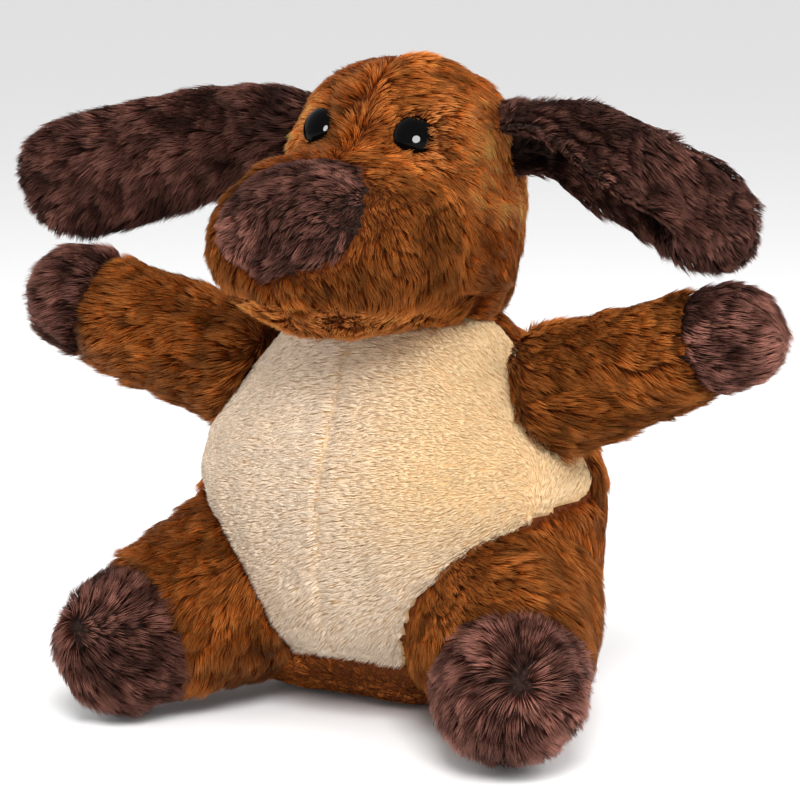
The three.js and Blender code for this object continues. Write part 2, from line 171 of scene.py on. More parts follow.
def outline_distance(u, v, points):
    """Signed distance in a plane to a closed outline; negative inside."""
    pts = np.asarray(points, float)
    best = np.full(u.shape, 1e9)
    inside = np.zeros(u.shape, bool)
    for (ax, ay), (bx, by) in zip(pts, np.roll(pts, -1, 0)):
        ex, ey = bx - ax, by - ay
        t = np.clip(((u - ax) * ex + (v - ay) * ey) / max(ex * ex + ey * ey, 1e-9), 0, 1)
        best = np.minimum(best, (u - ax - t * ex) ** 2 + (v - ay - t * ey) ** 2)
        cross = ((ay > v) != (by > v)) & (u < (bx - ax) * (v - ay) / (by - ay if abs(by - ay) > 1e-9 else 1e-9) + ax)
        inside ^= cross
    return np.where(inside, -1, 1) * np.sqrt(best)


def mirrored(half):
    return list(half) + [(-x, z) for x, z in reversed(half) if x > 0.01]


BELLY_OUT = mirrored(BELLY)
NOSE_OUT = mirrored([(x, z - 112.0) for x, z in NOSE])
_zs = np.linspace(0, 105, 211)
_rs = np.interp(_zs, PROFILE[:, 1], PROFILE[:, 0])
_k = np.hanning(13); _k /= _k.sum()
_rs[6:-6] = np.convolve(_rs, _k, "same")[6:-6]
_slope = np.gradient(_rs, _zs)


def torso_z(p):
    k = np.clip((-7 - p[..., 1]) / 23, 0, 1) ** 2 * FRONT_LIFT
    z = p[..., 2]
    return np.where(z < 32, (z - k) / (1 - k / 32), z)


def sdf_torso(p):
    z = torso_z(p)
    rho = np.sqrt(p[..., 0] ** 2 + (p[..., 1] / TORSO_DEPTH) ** 2)
    side = (rho - np.interp(z, _zs, _rs)) / np.sqrt(1 + np.interp(z, _zs, _slope) ** 2) * 0.93
    f = smax(side, -z, 5.0)
    return smax(f, z - 104, 3.0)


def sdf_head(p):
    q = to_head(p)
    z = q[..., 2]
    t = smooth(-12, 16, z)
    r = np.stack([28.2 + 0.8 * t, 24.5 - 2.9 * t, np.where(z > 0, 43.1, 26.0)], -1)
    skull = rounded(q, (0, 0, 0), r, 2.05 + 0.55 * t)
    muzzle = rounded(q, (0, -26.4, 1.8), np.array([28.9, 28.8, 20.2]), 2.15)
    return smin(skull, muzzle, 7.0)


def ear_curve(side, t):
    t = np.asarray(t, float)[..., None]
    A, B, C = [v - np.array([0, 1.0, 112.0]) for v in (EAR_FROM[side], EAR_VIA[side], EAR_TO[side])]
    return A * (1 - t) ** 2 + B * 2 * t * (1 - t) + C * t * t


_ear_t = np.linspace(0, 1, 97)
_ear = {}
for side in ("left", "right"):
    pts = ear_curve(side, _ear_t)
    along = unit(ear_curve(side, _ear_t + 0.01) - ear_curve(side, _ear_t - 0.01))
    up = np.stack([-0.42 * (1 - _ear_t), 0.12 * _ear_t, np.ones_like(_ear_t)], -1)
    up = unit(up - np.sum(up * along, -1, keepdims=True) * along)
    _ear[side] = (pts, along, up, np.cross(up, along))


def ear_local(p, side):
    """Along, across (up) and through (back) the ear, in millimetres, with the frame there."""
    q = to_head(p).copy()
    if side == "right":
        q = q * np.array([-1.0, 1, 1])
    pts, along, up, face = _ear[side]
    flat = q.reshape(-1, 3)
    best = np.empty(len(flat), int)
    for i in range(0, len(flat), 20000):
        part = flat[i:i + 20000]
        best[i:i + 20000] = np.argmin(((part[:, None, :] - pts[None]) ** 2).sum(-1), 1)
    rel = flat - pts[best]
    s = _ear_t[best] * EAR_LEN + np.sum(rel * along[best], -1)
    c = np.sum(rel * up[best], -1)
    d = np.sum(rel * face[best], -1)
    shape = q.shape[:-1]
    return s.reshape(shape), c.reshape(shape), d.reshape(shape), best.reshape(shape)


def ear_outline(side):
    t = np.concatenate([[-0.12, -0.05], np.linspace(0, 0.9, 25), np.linspace(0.92, 1.0, 9)])
    wu = np.interp(t, EAR_W[side][:, 0], EAR_W[side][:, 1])
    wd = np.interp(t, EAR_W[side][:, 0], EAR_W[side][:, 2])
    s = np.minimum(t, EAR_W[side][-1, 0]) * EAR_LEN
    return np.concatenate([np.stack([s, wu], -1), np.stack([s, -wd], -1)[::-1]])


EAR_OUT = {s: ear_outline(s) for s in ("left", "right")}


def ear_fold(side, s, c):
    """How far the flap is pushed back (towards +): the upper lobe stands forward over a channel, the lower lobe lies behind it."""
    u = s / EAR_LEN
    if side == "left":
        edge = np.interp(u, EAR_EDGE[:, 0], EAR_EDGE[:, 1])
        depth = 5.4 * smooth(-0.02, 0.10, u) * (1 - smooth(0.60, 0.84, u))
        curl = 1.0 * smooth(0.5, 1, u) * (np.abs(c) / 12) ** 2
        x = (c - edge) / 1.3
        return -depth * np.tanh(x) - 0.5 * depth * np.exp(-((x - 1.4) ** 2) / 3) + curl
    else:
        edge = 2.0 - 5.0 * smooth(0.0, 0.45, u)
        depth = 2.8 * smooth(0.0, 0.1, u) * (1 - smooth(0.2, 0.45, u))
        curl = -1.4 * (np.abs(c) / 14) ** 2 * smooth(0.1, 0.5, u)
    x = (c - edge) / 3.4
    return -depth * np.tanh(x) + 0.45 * depth * np.exp(-((x + 0.8) ** 2)) + curl


def sdf_ear(p, side):
    s, c, d, _ = ear_local(p, side)
    o = outline_distance(s, c, EAR_OUT[side])
    slope = (ear_fold(side, s, c + 0.4) - ear_fold(side, s, c - 0.4)) / 0.8
    through = (np.abs(d - ear_fold(side, s, c)) - 0.9) / np.sqrt(1 + slope ** 2)
    r = 2.2
    return np.sqrt(np.maximum(o + r, 0) ** 2 + np.maximum(through, 0) ** 2) - r


def side_of(p, side):
    return p * np.array([1.0 if side == "left" else -1.0, 1, 1])


def limb_local(p, spec, side):
    """Along the limb, and the height across it, for a limb mirrored to the left."""
    q = side_of(p, side) - spec["root"]
    d = unit(spec["dir"])
    s = q @ d
    flat = unit(np.array([spec["dir"][0], spec["dir"][1], 0.0]))
    level = unit(np.cross(np.cross(flat, np.array([0, 0, 1.0])), d)) * -1
    if level[2] < 0:
        level = -level
    return s, q @ level


def sdf_limb(p, spec, side):
    q = side_of(p, side)
    d = unit(spec["dir"])
    if spec is TAIL:
        return round_cone(q, spec["root"], d, spec["tip"] - spec["r1"], spec["r0"], spec["r1"])
    if spec is ARM:
        # the arm is drawn in a little where it is sewn on
        lean = unit(spec["dir"] + np.array([0, 0, 1.6 if side == "left" else 0.3]))
        r1 = spec["r1"] + (-0.5 if side == "left" else 0.9)
        f = round_cone(q, spec["root"] + d * 1.5, lean, spec["tip"] - r1 - 1.5, spec["r0"] - 0.4, r1)
        f = smax(f, -((q - spec["root"]) @ d + 4.0), 5.0)
        return f
    return round_cone(q, spec["root"], d, spec["tip"] - spec["r1"], spec["r0"], spec["r1"])


# ------------------------------------------------------------------ panels: which panel a point is on, and how far the nearest seam is


def torso_panels(p):
    z = torso_z(p)
    belly = np.maximum(outline_distance(p[..., 0], p[..., 2], BELLY_OUT), p[..., 1] - BELLY_BACK)
    low = p[..., 2] - BASE_TOP
    left = p[..., 0] > 0
    label = np.where(low < 0, 0, np.where(belly < 0, np.where(left, 1, 2), np.where(left, 3, 4)))
    seam = np.minimum(np.abs(low), np.where(low < 0, 99, np.minimum(np.abs(belly), np.abs(p[..., 0]) * 1.0 + 0.6)))
    return label, seam


TORSO_NAMES = ["base_panel", "belly_panel_left", "belly_panel_right", "back_panel_left", "back_panel_right"]


def head_panels(p):
    q = to_head(p)
    nose = np.maximum(outline_distance(q[..., 0], q[..., 2], NOSE_OUT), q[..., 1] + 31)
    chin = np.maximum(q[..., 2] + 9, q[..., 1] + 5)
    back = q[..., 1] - 6
    left = q[..., 0] > 0
    label = np.where(nose < 0, 0, np.where(back > 0, np.where(left, 3, 4), np.where(chin < 0, 1, np.where(left, 2, 5))))
    seam = np.minimum(np.abs(nose), np.minimum(np.abs(back), np.minimum(np.abs(chin) + 0.8, np.abs(q[..., 0]) + 0.9)))
    return label, seam


HEAD_NAMES = ["nose_patch", "chin_panel", "face_panel_left", "head_back_panel_left", "head_back_panel_right", "face_panel_right"]


def ear_panels(side):
    def f(p):
        s, c, d, _ = ear_local(p, side)
        t = d - ear_fold(side, s, c)
        return np.where(t < 0, 0, 1), np.abs(t) + 0.5
    return f


def limb_panels(spec, side):
    def f(p):
        s, h = limb_local(p, spec, side)
        end = s - spec["seam"]
        label = np.where(end > 0, 2, np.where(h > 0, 0, 1))
        return label, np.minimum(np.abs(end), np.where(end > 0, 99, np.abs(h) + 0.9))
    return f


# ------------------------------------------------------------------ meshing: surface nets on a grid, then pulled on to the surface


def nets(fn, lo, hi, h):
    lo = np.asarray(lo, float)
    n = np.ceil((np.asarray(hi, float) - lo) / h).astype(int) + 1
    ax = [lo[i] + h * np.arange(n[i]) for i in range(3)]
    P = np.stack(np.meshgrid(*ax, indexing="ij"), -1)
    F = fn(P)
    neg = F < 0
    c = n - 1
    total = np.zeros(tuple(c) + (3,))
    count = np.zeros(tuple(c))
    corners = [(i, j, k) for i in (0, 1) for j in (0, 1) for k in (0, 1)]
    sl = lambda o: tuple(slice(o[i], o[i] + c[i]) for i in range(3))
    for axis in range(3):
        for o in corners:
            if o[axis]:
                continue
            o2 = tuple(o[i] + (i == axis) for i in range(3))
            fa, fb = F[sl(o)], F[sl(o2)]
            cross = (fa < 0) != (fb < 0)
            t = np.where(cross, fa / np.where(cross, fa - fb, 1), 0)
            base = np.array(o, float)
            pos = np.broadcast_to(base, total.shape).copy()
            pos[..., axis] += t
            total += np.where(cross[..., None], pos, 0)
            count += cross
    active = count > 0
    index = np.full(tuple(c), -1)
    index[active] = np.arange(active.sum())
    cell = np.stack(np.nonzero(active), -1)
    V = lo + h * (cell + total[active] / count[active][:, None])
    quads = []
    for axis in range(3):
        u, v = (axis + 1) % 3, (axis + 2) % 3
        a0 = [slice(None)] * 3
        a1 = [slice(None)] * 3
        a0[axis], a1[axis] = slice(0, n[axis] - 1), slice(1, n[axis])
        na, nb = neg[tuple(a0)], neg[tuple(a1)]
        cr = na != nb
        ii = np.stack(np.nonzero(cr), -1)
        ok = (ii[:, u] > 0) & (ii[:, v] > 0) & (ii[:, u] < n[u] - 1) & (ii[:, v] < n[v] - 1)
        ii = ii[ok]
        inside_first = na[tuple(ii.T)]

        def at(du, dv):
            w = ii.copy()
            w[:, u] -= du
            w[:, v] -= dv
            return index[tuple(w.T)]
        q = np.stack([at(1, 1), at(0, 1), at(0, 0), at(1, 0)], -1)
        q[~inside_first] = q[~inside_first][:, ::-1]
        quads.append(q)
    return V, np.concatenate(quads)


def gradient(fn, p, e=0.25):
    g = np.empty(p.shape)
    for i in range(3):
        d = np.zeros(3)
        d[i] = e
        g[..., i] = (fn(p + d) - fn(p - d)) / (2 * e)
    return g


def settle(fn, p, rounds=2):
    for _ in range(rounds):
        g = gradient(fn, p)
        step = fn(p) / np.maximum((g * g).sum(-1), 0.05)
        p = p - np.clip(step, -1, 1)[:, None] * g
    return p


def stuffed(fn, panels, lumps, seed, pinch=1.0):
    """The shape as it looks when sewn and stuffed: soft lumps, and a dip along each seam."""
    def f(p):
        v = fn(p)
        _, seam = panels(p)
        near = np.abs(v) < 4
        out = v + 0.0
        q = p[near]
        if len(q):
            bump = lumps * noise(q, 15.0, seed) + 0.35 * lumps * noise(q, 6.0, seed + 7)
            out[near] = v[near] - bump + pinch * np.exp(-((seam[near] / 1.7) ** 2))
        return out
    return f


def new_object(name, V, faces_flat, starts, smooth_shade=True):
    mesh = bpy.data.meshes.new(name)
    mesh.vertices.add(len(V))
    mesh.vertices.foreach_set("co", (np.asarray(V, np.float32) * MM).ravel())
    mesh.loops.add(len(faces_flat))
    mesh.loops.foreach_set("vertex_index", np.asarray(faces_flat, np.int32))
    mesh.polygons.add(len(starts))
    mesh.polygons.foreach_set("loop_start", np.asarray(starts, np.int32))
    mesh.update(calc_edges=True)
    mesh.polygons.foreach_set("use_smooth", np.full(len(starts), smooth_shade))
    obj = bpy.data.objects.new(name, mesh)
    bpy.context.scene.collection.objects.link(obj)
    return obj


def shell(name, V, N, Q, thick):
    """A panel of quads as a closed sheet of cloth, `thick` deep inwards."""
    used, inv = np.unique(Q, return_inverse=True)
    q = inv.reshape(Q.shape)
    v, n = V[used], N[used]
    m = len(used)
    edges = np.concatenate([q[:, [0, 1]], q[:, [1, 2]], q[:, [2, 3]], q[:, [3, 0]]])
    key = edges[:, 0].astype(np.int64) * m + edges[:, 1]
    back = edges[:, 1].astype(np.int64) * m + edges[:, 0]
    rim = edges[~np.isin(key, back)]
    faces = np.concatenate([q, q[:, ::-1] + m, np.stack([rim[:, 1], rim[:, 0], rim[:, 0] + m, rim[:, 1] + m], -1)])
    allv = np.concatenate([v, v - n * thick])
    return new_object(name, allv, faces.ravel(), np.arange(len(faces)) * 4)


# ------------------------------------------------------------------ materials


def principled(name):
    m = bpy.data.materials.new(name)
    m.use_nodes = True
    return m, m.node_tree, m.node_tree.nodes["Principled BSDF"]


def backing_material(name, dark, light):
    m, t, p = principled(name)
    co = t.nodes.new("ShaderNodeTexCoord")
    n1 = t.nodes.new("ShaderNodeTexNoise"); n1.inputs["Scale"].default_value = 900; n1.inputs["Detail"].default_value = 6
    ramp = t.nodes.new("ShaderNodeValToRGB")
    ramp.color_ramp.elements[0].color = (*dark, 1); ramp.color_ramp.elements[0].position = 0.3
    ramp.color_ramp.elements[1].color = (*light, 1); ramp.color_ramp.elements[1].position = 0.7
    bump = t.nodes.new("ShaderNodeBump"); bump.inputs["Strength"].default_value = 0.6; bump.inputs["Distance"].default_value = 0.0004
    t.links.new(co.outputs["Object"], n1.inputs["Vector"])
    t.links.new(n1.outputs["Fac"], ramp.inputs["Fac"])
    t.links.new(ramp.outputs["Color"], p.inputs["Base Color"])
    t.links.new(n1.outputs["Fac"], bump.inputs["Height"])
    t.links.new(bump.outputs["Normal"], p.inputs["Normal"])
    p.inputs["Roughness"].default_value = 0.95
    p.inputs["Specular IOR Level"].default_value = 0.1
    return m


def pile_material(name, rough, spec, sheen, tint, sheen_rough=0.4, shine=(1, 1, 1)):
    m, t, p = principled(name)
    c = t.nodes.new("ShaderNodeVertexColor")
    c.layer_name = "Pile"
    t.links.new(c.outputs["Color"], p.inputs["Base Color"])
    p.inputs["Roughness"].default_value = rough
    p.inputs["Specular IOR Level"].default_value = spec
    p.inputs["Sheen Weight"].default_value = sheen
    p.inputs["Sheen Roughness"].default_value = sheen_rough
    p.inputs["Sheen Tint"].default_value = (*tint, 1)
    p.inputs["Specular Tint"].default_value = (*shine, 1)
    return m


def lin(rgb):
    c = np.asarray(rgb, float) / 255.0
    return np.where(c <= 0.04045, c / 12.92, ((c + 0.055) / 1.055) ** 2.4)


KINDS = {
    # root, middle and tip colours (sRGB 0-255), pile length, radius at root, strands per mm2
    # the dark root colours are painted shade deep in the pile; the light tip colours are partly the plush's own lighter
    # tips and partly painted highlight
    "brown": dict(root=(64, 19, 1), mid=(128, 56, 9), tip=(208, 130, 64), length=6.3, radius=0.09, density=5.6, clump=0.235, relief=1.0, slot="brown_plush"),
    "dark": dict(root=(14, 5, 3), mid=(64, 33, 26), tip=(172, 118, 103), length=6.1, radius=0.09, density=5.6, clump=0.34, relief=1.0, slot="dark_plush"),
    "cream": dict(root=(240, 214, 176), mid=(245, 222, 188), tip=(249, 231, 204), length=4.2, radius=0.068, density=8.0, clump=0.02, relief=0.3, slot="cream_plush"),
}
PILE_MAT = {
    "brown": pile_material("plush_pile_brown", 0.50, 0.12, 0.02, (1.0, 0.6, 0.3), shine=(1.0, 0.55, 0.25)),
    "dark": pile_material("plush_pile_dark", 0.50, 0.06, 0.0, (0.9, 0.7, 0.68), shine=(1.0, 0.72, 0.66)),
    "cream": pile_material("plush_pile_cream", 0.75, 0.1, 0.06, (1.0, 0.95, 0.85)),
}
# the backings are coloured darker than their pile: painted shade where the backing shows between the strands
BACK_MAT = {
    "brown": backing_material("plush_backing_brown", lin((60, 26, 8)), lin((104, 50, 18))),
    "dark": backing_material("plush_backing_dark", lin((24, 15, 12)), lin((52, 36, 30))),
    "cream": backing_material("plush_backing_cream", lin((190, 152, 106)), lin((222, 188, 142))),
}

STRANDS = 0


def fibre(name, c0, c1, scale, rough):
    m, t, p = principled(name)
    co = t.nodes.new("ShaderNodeTexCoord")
    nn = t.nodes.new("ShaderNodeTexNoise"); nn.inputs["Scale"].default_value = scale; nn.inputs["Detail"].default_value = 8; nn.inputs["Distortion"].default_value = 1.5
    rr = t.nodes.new("ShaderNodeValToRGB")
    rr.color_ramp.elements[0].color = (*c0, 1); rr.color_ramp.elements[1].color = (*c1, 1)
    bb = t.nodes.new("ShaderNodeBump"); bb.inputs["Strength"].default_value = 0.7; bb.inputs["Distance"].default_value = 0.0006
    t.links.new(co.outputs["Object"], nn.inputs["Vector"]); t.links.new(nn.outputs["Fac"], rr.inputs["Fac"])
    t.links.new(rr.outputs["Color"], p.inputs["Base Color"]); t.links.new(nn.outputs["Fac"], bb.inputs["Height"]); t.links.new(bb.outputs["Normal"], p.inputs["Normal"])
    p.inputs["Roughness"].default_value = rough
    return m


FIBRE = fibre("stuffing_fibre_white", (0.78, 0.77, 0.74), (0.93, 0.92, 0.90), 260, 0.95)


def pile(name, kind, V, N, Q, nap, look, panels, label, fn, seed, others, density=None, floor=0.25):
    """Pile for one panel: strands that lean with the nap, gathered in tufts, each a closed tapered spike of two lengths."""
    global STRANDS
    spec = KINDS[kind]
    node_is_base = name == "base_panel"
    rng = np.random.default_rng(seed)
    T = np.concatenate([Q[:, [0, 1, 2]], Q[:, [0, 2, 3]]])
    A, B, C = V[T[:, 0]], V[T[:, 1]], V[T[:, 2]]
    area = np.linalg.norm(np.cross(B - A, C - A), axis=1) / 2
    rate = spec["density"] * (density or 1.0) * 1.0
    m = int(min(area.sum() * rate, 33000))
    pick = rng.choice(len(T), m, p=area / area.sum())
    u, v = rng.random(m), rng.random(m)
    flip = u + v > 1
    u[flip], v[flip] = 1 - u[flip], 1 - v[flip]
    P = A[pick] + u[:, None] * (B[pick] - A[pick]) + v[:, None] * (C[pick] - A[pick])
    n = unit(N[T[pick, 0]] * (1 - u - v)[:, None] + N[T[pick, 1]] * u[:, None] + N[T[pick, 2]] * v[:, None])
    keep = np.ones(m, bool)
    for other in others:
        keep &= other(P) > -2.2
    if node_is_base:
        keep &= (P[:, 2] > 1.2) | (rng.random(m) < 0.12)
    P, n = P[keep], n[keep]
    m = len(P)
    if m < 10:
        return None
    own, seam = panels(P)
    P, n, seam = P[own == label], n[own == label], seam[own == label]
    m = len(P)
    if m < 10:
        return None
    L = look(P, n)
    # tufts: each strand belongs to the nearest of many tuft centres
    centres = rng.choice(m, max(int(m / 26), 5), replace=False)
    tree = KDTree(len(centres))
    for i, k in enumerate(centres):
        tree.insert(P[k], i)
    tree.balance()
    near = np.array([tree.find(x)[1] for x in P])
    t = nap(P, n)
    # swirls in the nap, at three sizes
    turn = L.get("swirl", 1.0) * (0.45 * noise(P, 13.0, seed + 1) + 0.30 * noise(P, 5.0, seed + 2) + 0.16 * noise(P, 2.2, seed + 3))
    turn = turn + rng.normal(0, 0.10, m)
    side = np.cross(n, t)
    t = unit(t * np.cos(turn)[:, None] + side * np.sin(turn)[:, None])
    length = spec["length"] * L.get("length", 1.0) * rng.uniform(0.72, 1.12, m) * (1 + spec["relief"] * 0.22 * noise(P, 4.5, seed + 4))
    length = length * (0.72 + 0.28 * smooth(0.0, 2.2, seam))
    wave = 0.30 * noise(P, 7.5, seed + 5) + 0.20 * noise(P, 3.4, seed + 9)
    lift = L.get("lift", 0.0) + spec["relief"] * wave + rng.normal(0, 0.06, m)
    r = spec["radius"] * rng.uniform(0.8, 1.25, m)
    P0 = P - n * 0.35
    a1, b1 = 0.52 + 0.40 * lift, 0.74 - 0.25 * lift
    d1 = unit(n * np.clip(a1, 0.25, 1.2)[:, None] + t * np.clip(b1, 0.1, 1.0)[:, None])
    a2, b2 = 0.07 + 0.60 * lift, 0.98 - 0.35 * lift
    down = np.array([0, 0, -1.0]) * 0.10
    d2 = unit(n * np.clip(a2, -0.05, 1.1)[:, None] + t * np.clip(b2, 0.15, 1.0)[:, None] + down)
    P1 = P0 + d1 * (length * 0.45)[:, None]
    P2 = P1 + d2 * (length * 0.55)[:, None]
    # gather the tips of a tuft
    gather = (rng.uniform(0.35, 0.7, len(centres)) * L.get("gather", 1.0))[near]
    c = centres[near]
    P2 = P2 + (P2[c] - P2) * gather[:, None] * 0.62
    P1 = P1 + (P1[c] - P1) * gather[:, None] * 0.28
    if floor is not None:
        for q in (P1, P2):
            q[:, 2] = np.maximum(q[:, 2], floor)
        P0[:, 2] = np.maximum(P0[:, 2], floor)
    axis = unit(P2 - P0)
    ref = np.where(np.abs(axis[:, :1]) > 0.7, np.array([[0, 1.0, 0]]), np.array([[1.0, 0, 0]]))
    e1 = unit(np.cross(axis, ref))
    e2 = np.cross(axis, e1)
    verts = np.empty((m, 5, 3))
    spin = rng.uniform(0, 2 * math.pi, m)
    verts[:, 0] = P0
    for j in range(3):
        ang = spin + j * 2 * math.pi / 3
        w = e1 * np.cos(ang)[:, None] + e2 * np.sin(ang)[:, None]
        verts[:, 1 + j] = P1 + w * r[:, None]
    verts[:, 4] = P2
    if floor is not None:
        verts[:, :, 2] = np.maximum(verts[:, :, 2], 0.08)
    loops = np.array([0, 2, 1, 0, 3, 2, 0, 1, 3, 1, 2, 4, 2, 3, 4, 3, 1, 4])
    starts = np.arange(6) * 3
    allloops = (np.arange(m)[:, None] * 5 + loops[None]).ravel()
    allstarts = (np.arange(m)[:, None] * 18 + starts[None]).ravel()
    obj = new_object(name + "_pile", verts.reshape(-1, 3), allloops, allstarts)
    # colour: dark at the root as painted shade deep in the pile, light at the tip partly as the plush's own lighter
    # tips and partly as painted highlight, with tuft, strand and patch variation
    k = spec["clump"]
    tone = (1 + rng.normal(0, 0.35 * k + 0.02, m)) * (1 + rng.normal(0, k, len(centres)))[near]
    tone = tone * (1 + 0.9 * k * noise(P, 9.0, seed + 6)) * (1 + 0.8 * k * noise(P, 3.6, seed + 8))
    tone = tone * (1 + 1.6 * k * wave / 0.3)
    tone = np.clip(tone, 0.3, 2.0) * L.get("tone", 1.0)
    warm = L.get("tint", np.ones((m, 3)))
    col = np.empty((m, 5, 4))
    for js, key, gain in (((0,), "root", 1.0), ((1, 2, 3), "mid", 1.0), ((4,), "tip", 1.0)):
        base = lin(L.get(key, spec[key]))
        for j in js:
            col[:, j, :3] = np.clip(base[None] * tone[:, None] * warm * gain, 0, 1)
    col[:, :, 3] = 1
    att = obj.data.color_attributes.new("Pile", "FLOAT_COLOR", "POINT")
    att.data.foreach_set("color", col.astype(np.float32).ravel())
    # each strand has its own small cell of the baking map
    g = int(math.ceil(math.sqrt(m)))
    cell = np.stack([np.arange(m) % g, np.arange(m) // g], -1) / g
    cu = np.array([0.5, 1, 0, 2.5, 3, 2, 1.5, 1, 2, 0, 1, 0.5, 2, 3, 2.5, 1, 2, 1.5]) / 3
    cv = np.array([0, 0.5, 0.5, 0, 0.5, 0.5, 0, 0.5, 0.5, 0.5, 0.5, 1, 0.5, 0.5, 1, 0.5, 0.5, 1])
    uv = cell[:, None, :] + (0.12 + 0.76 * np.stack([cu, cv], -1)[None]) / g
    layer = obj.data.uv_layers.new(name="OFBake")
    layer.data.foreach_set("uv", uv.astype(np.float32).ravel())
    obj.data.materials.append(PILE_MAT[kind])
    STRANDS += m
    return obj


# ------------------------------------------------------------------ nap: which way the pile lies, and its look, region by region


def tangent(n, v):
    v = np.broadcast_to(np.asarray(v, float), n.shape)
    t = v - np.sum(v * n, -1, keepdims=True) * n
    weak = np.linalg.norm(t, axis=-1) < 0.15
    t = np.where(weak[:, None], t + 0.2 * (np.array([0, 0, -1.0]) + n[:, 2:3] * n), t)
    return unit(t)


def col3(*c):
    return np.stack(np.broadcast_arrays(*c), -1)


def nap_torso(p, n):
    x, y, z = p[:, 0], p[:, 1], p[:, 2]
    label, _ = torso_panels(p)
    low = 1 - smooth(14, 52, z)
    tuft = smooth(38, 48, x) * smooth(36, 44, z)
    belly = col3(-1.0 + 1.7 * tuft + 0.30 * low, 0 * x, -0.10 - 0.85 * low + 0.5 * tuft)
    back = col3(0.35 * np.sign(x) * smooth(0, 12, np.abs(x)), 0.15 + 0 * x, -1.0 + 0 * x)
    base = col3(x / 40.0, -1.0 + 0 * x, 0 * x)
    v = np.where((label == 0)[:, None], base, np.where(((label == 1) | (label == 2))[:, None], belly, back))
    return tangent(n, v)


def look_torso(p, n):
    x, y, z = p[:, 0], p[:, 1], p[:, 2]
    label, _ = torso_panels(p)
    cream = (label == 1) | (label == 2)
    right_edge = smooth(20, 40, x)
    short = smooth(2, 26, x) * smooth(36, 60, z)
    lift = np.where(cream, -0.05 + 0.10 * right_edge + 0.12 * (1 - smooth(14, 30, z)), 0.05)
    lift = np.where(label == 0, -0.15, lift)
    lift = lift + np.where(cream, 0, 0.45) * (1 - smooth(1.0, 4.0, np.abs(outline_distance(x, z, BELLY_OUT)))) * (y < 0)
    # painted warm light: the cream is tinted warmer on the upper belly towards +x and bluer elsewhere, as the light
    # falls on that side
    warm = smooth(-8, 30, x) * smooth(30, 62, z)
    tint = np.where(cream[:, None], col3(0.98 + 0.0 * warm, 0.99 - 0.09 * warm, 1.08 - 0.34 * warm), np.ones((len(p), 3)))
    length = np.where(cream, 1.0 - 0.28 * short, np.where(label == 0, 0.3, 1.0))
    return dict(lift=lift, tint=tint, length=length, swirl=np.where(cream, 0.45 + 0.25 * (1 - smooth(20, 50, z)), 0.9), gather=0.55 if cream.any() else 1.0)


def nap_head(p, n):
    q = to_head(p)
    x, y, z = q[:, 0], q[:, 1], q[:, 2]
    s = np.sign(x) * smooth(0, 3, np.abs(x))
    label, _ = head_panels(p)
    # crown and side of the head: outwards from the middle, then back and down
    crown = col3(s * 0.9, 0.35 + 0 * x, 0.10 - 0.45 * smooth(8, 28, np.abs(x)))
    # muzzle: outwards from the bridge, down and a little forward at the cheeks
    muzzle = col3(s * 0.35, -0.25 + 0 * x, -1.0 + 0.5 * smooth(0, 20, z))
    m = smooth(2, -10, y + 20 + 0.35 * (z - 12)) if False else (1 - smooth(-26, -12, y)) * (1 - smooth(14, 26, z))
    v = crown * (1 - m)[:, None] + muzzle * m[:, None]
    back = col3(s * 0.3, 0.1 + 0 * x, -1.0 + 0 * x)
    bk = smooth(4, 14, y)
    v = v * (1 - bk)[:, None] + back * bk[:, None]
    # the nose patch: down and outwards to the dog's right
    nose = col3(-0.75 + 0 * x, 0 * x, -0.75 + 0 * x)
    v = np.where((label == 0)[:, None], nose, v)
    chin = col3(s * 0.25, -0.9 + 0 * x, -0.3 + 0 * x)
    v = np.where((label == 1)[:, None], 0.4 * v + chin, v)
    return tangent(n, v @ HEAD_R.T)


def look_head(p, n):
    q = to_head(p)
    x, y, z = q[:, 0], q[:, 1], q[:, 2]
    label, _ = head_panels(p)
    m = (1 - smooth(-24, -12, y)) * (1 - smooth(14, 26, z))
    length = 0.92 - 0.22 * m
    length = np.where(label == 0, 0.72, length)
    # shorter round the eyes, and standing up against them
    brim = 0
    for sx in (-1, 1):
        e = (EYE["at"] - np.array([0, 1.0, 112.0])) * np.array([sx, 1, 1])
        d = np.linalg.norm(q - e, axis=1)
        length = length * (0.55 + 0.45 * smooth(5.5, 10.0, d))
        brim = brim + (1 - smooth(5.0, 8.0, d))
    tone = 1.0 - 0.42 * m
    tone = tone + 0.95 * smooth(8, 20, np.abs(x)) * (1 - m) * smooth(3, 15, z) * (1 - smooth(30, 42, z))
    tone = tone * (1 - 0.22 * smooth(2, 9, z) * (1 - smooth(20, 28, z)) * (1 - smooth(-34, -22, y)) * (1 - smooth(14, 24, np.abs(x))))
    tone = tone + 0.85 * m * (1 - smooth(-12, -2, z))
    # painted highlight on the nose patch: lighter low down towards -x, darker higher up towards +x
    nose = 0.62 + 0.75 * smooth(6, -14, x) * smooth(18, -2, z) + 0.25 * smooth(2, -6, z)
    tone = np.where(label == 0, nose, tone)
    pale = smooth(1.0, 1.8, tone)
    tint = np.where((label == 0)[:, None], 1.0, col3(1 + 0 * pale, 1 + 0.14 * pale, 1 + 0.5 * pale))
    # the fur round each eye is painted darker: painted shade where the fur meets the eye
    return dict(lift=0.05 + 0.30 * m + 0.9 * brim, length=length, tone=tone * (1 - 0.25 * brim), tint=tint, swirl=1.0 + 0.5 * m)


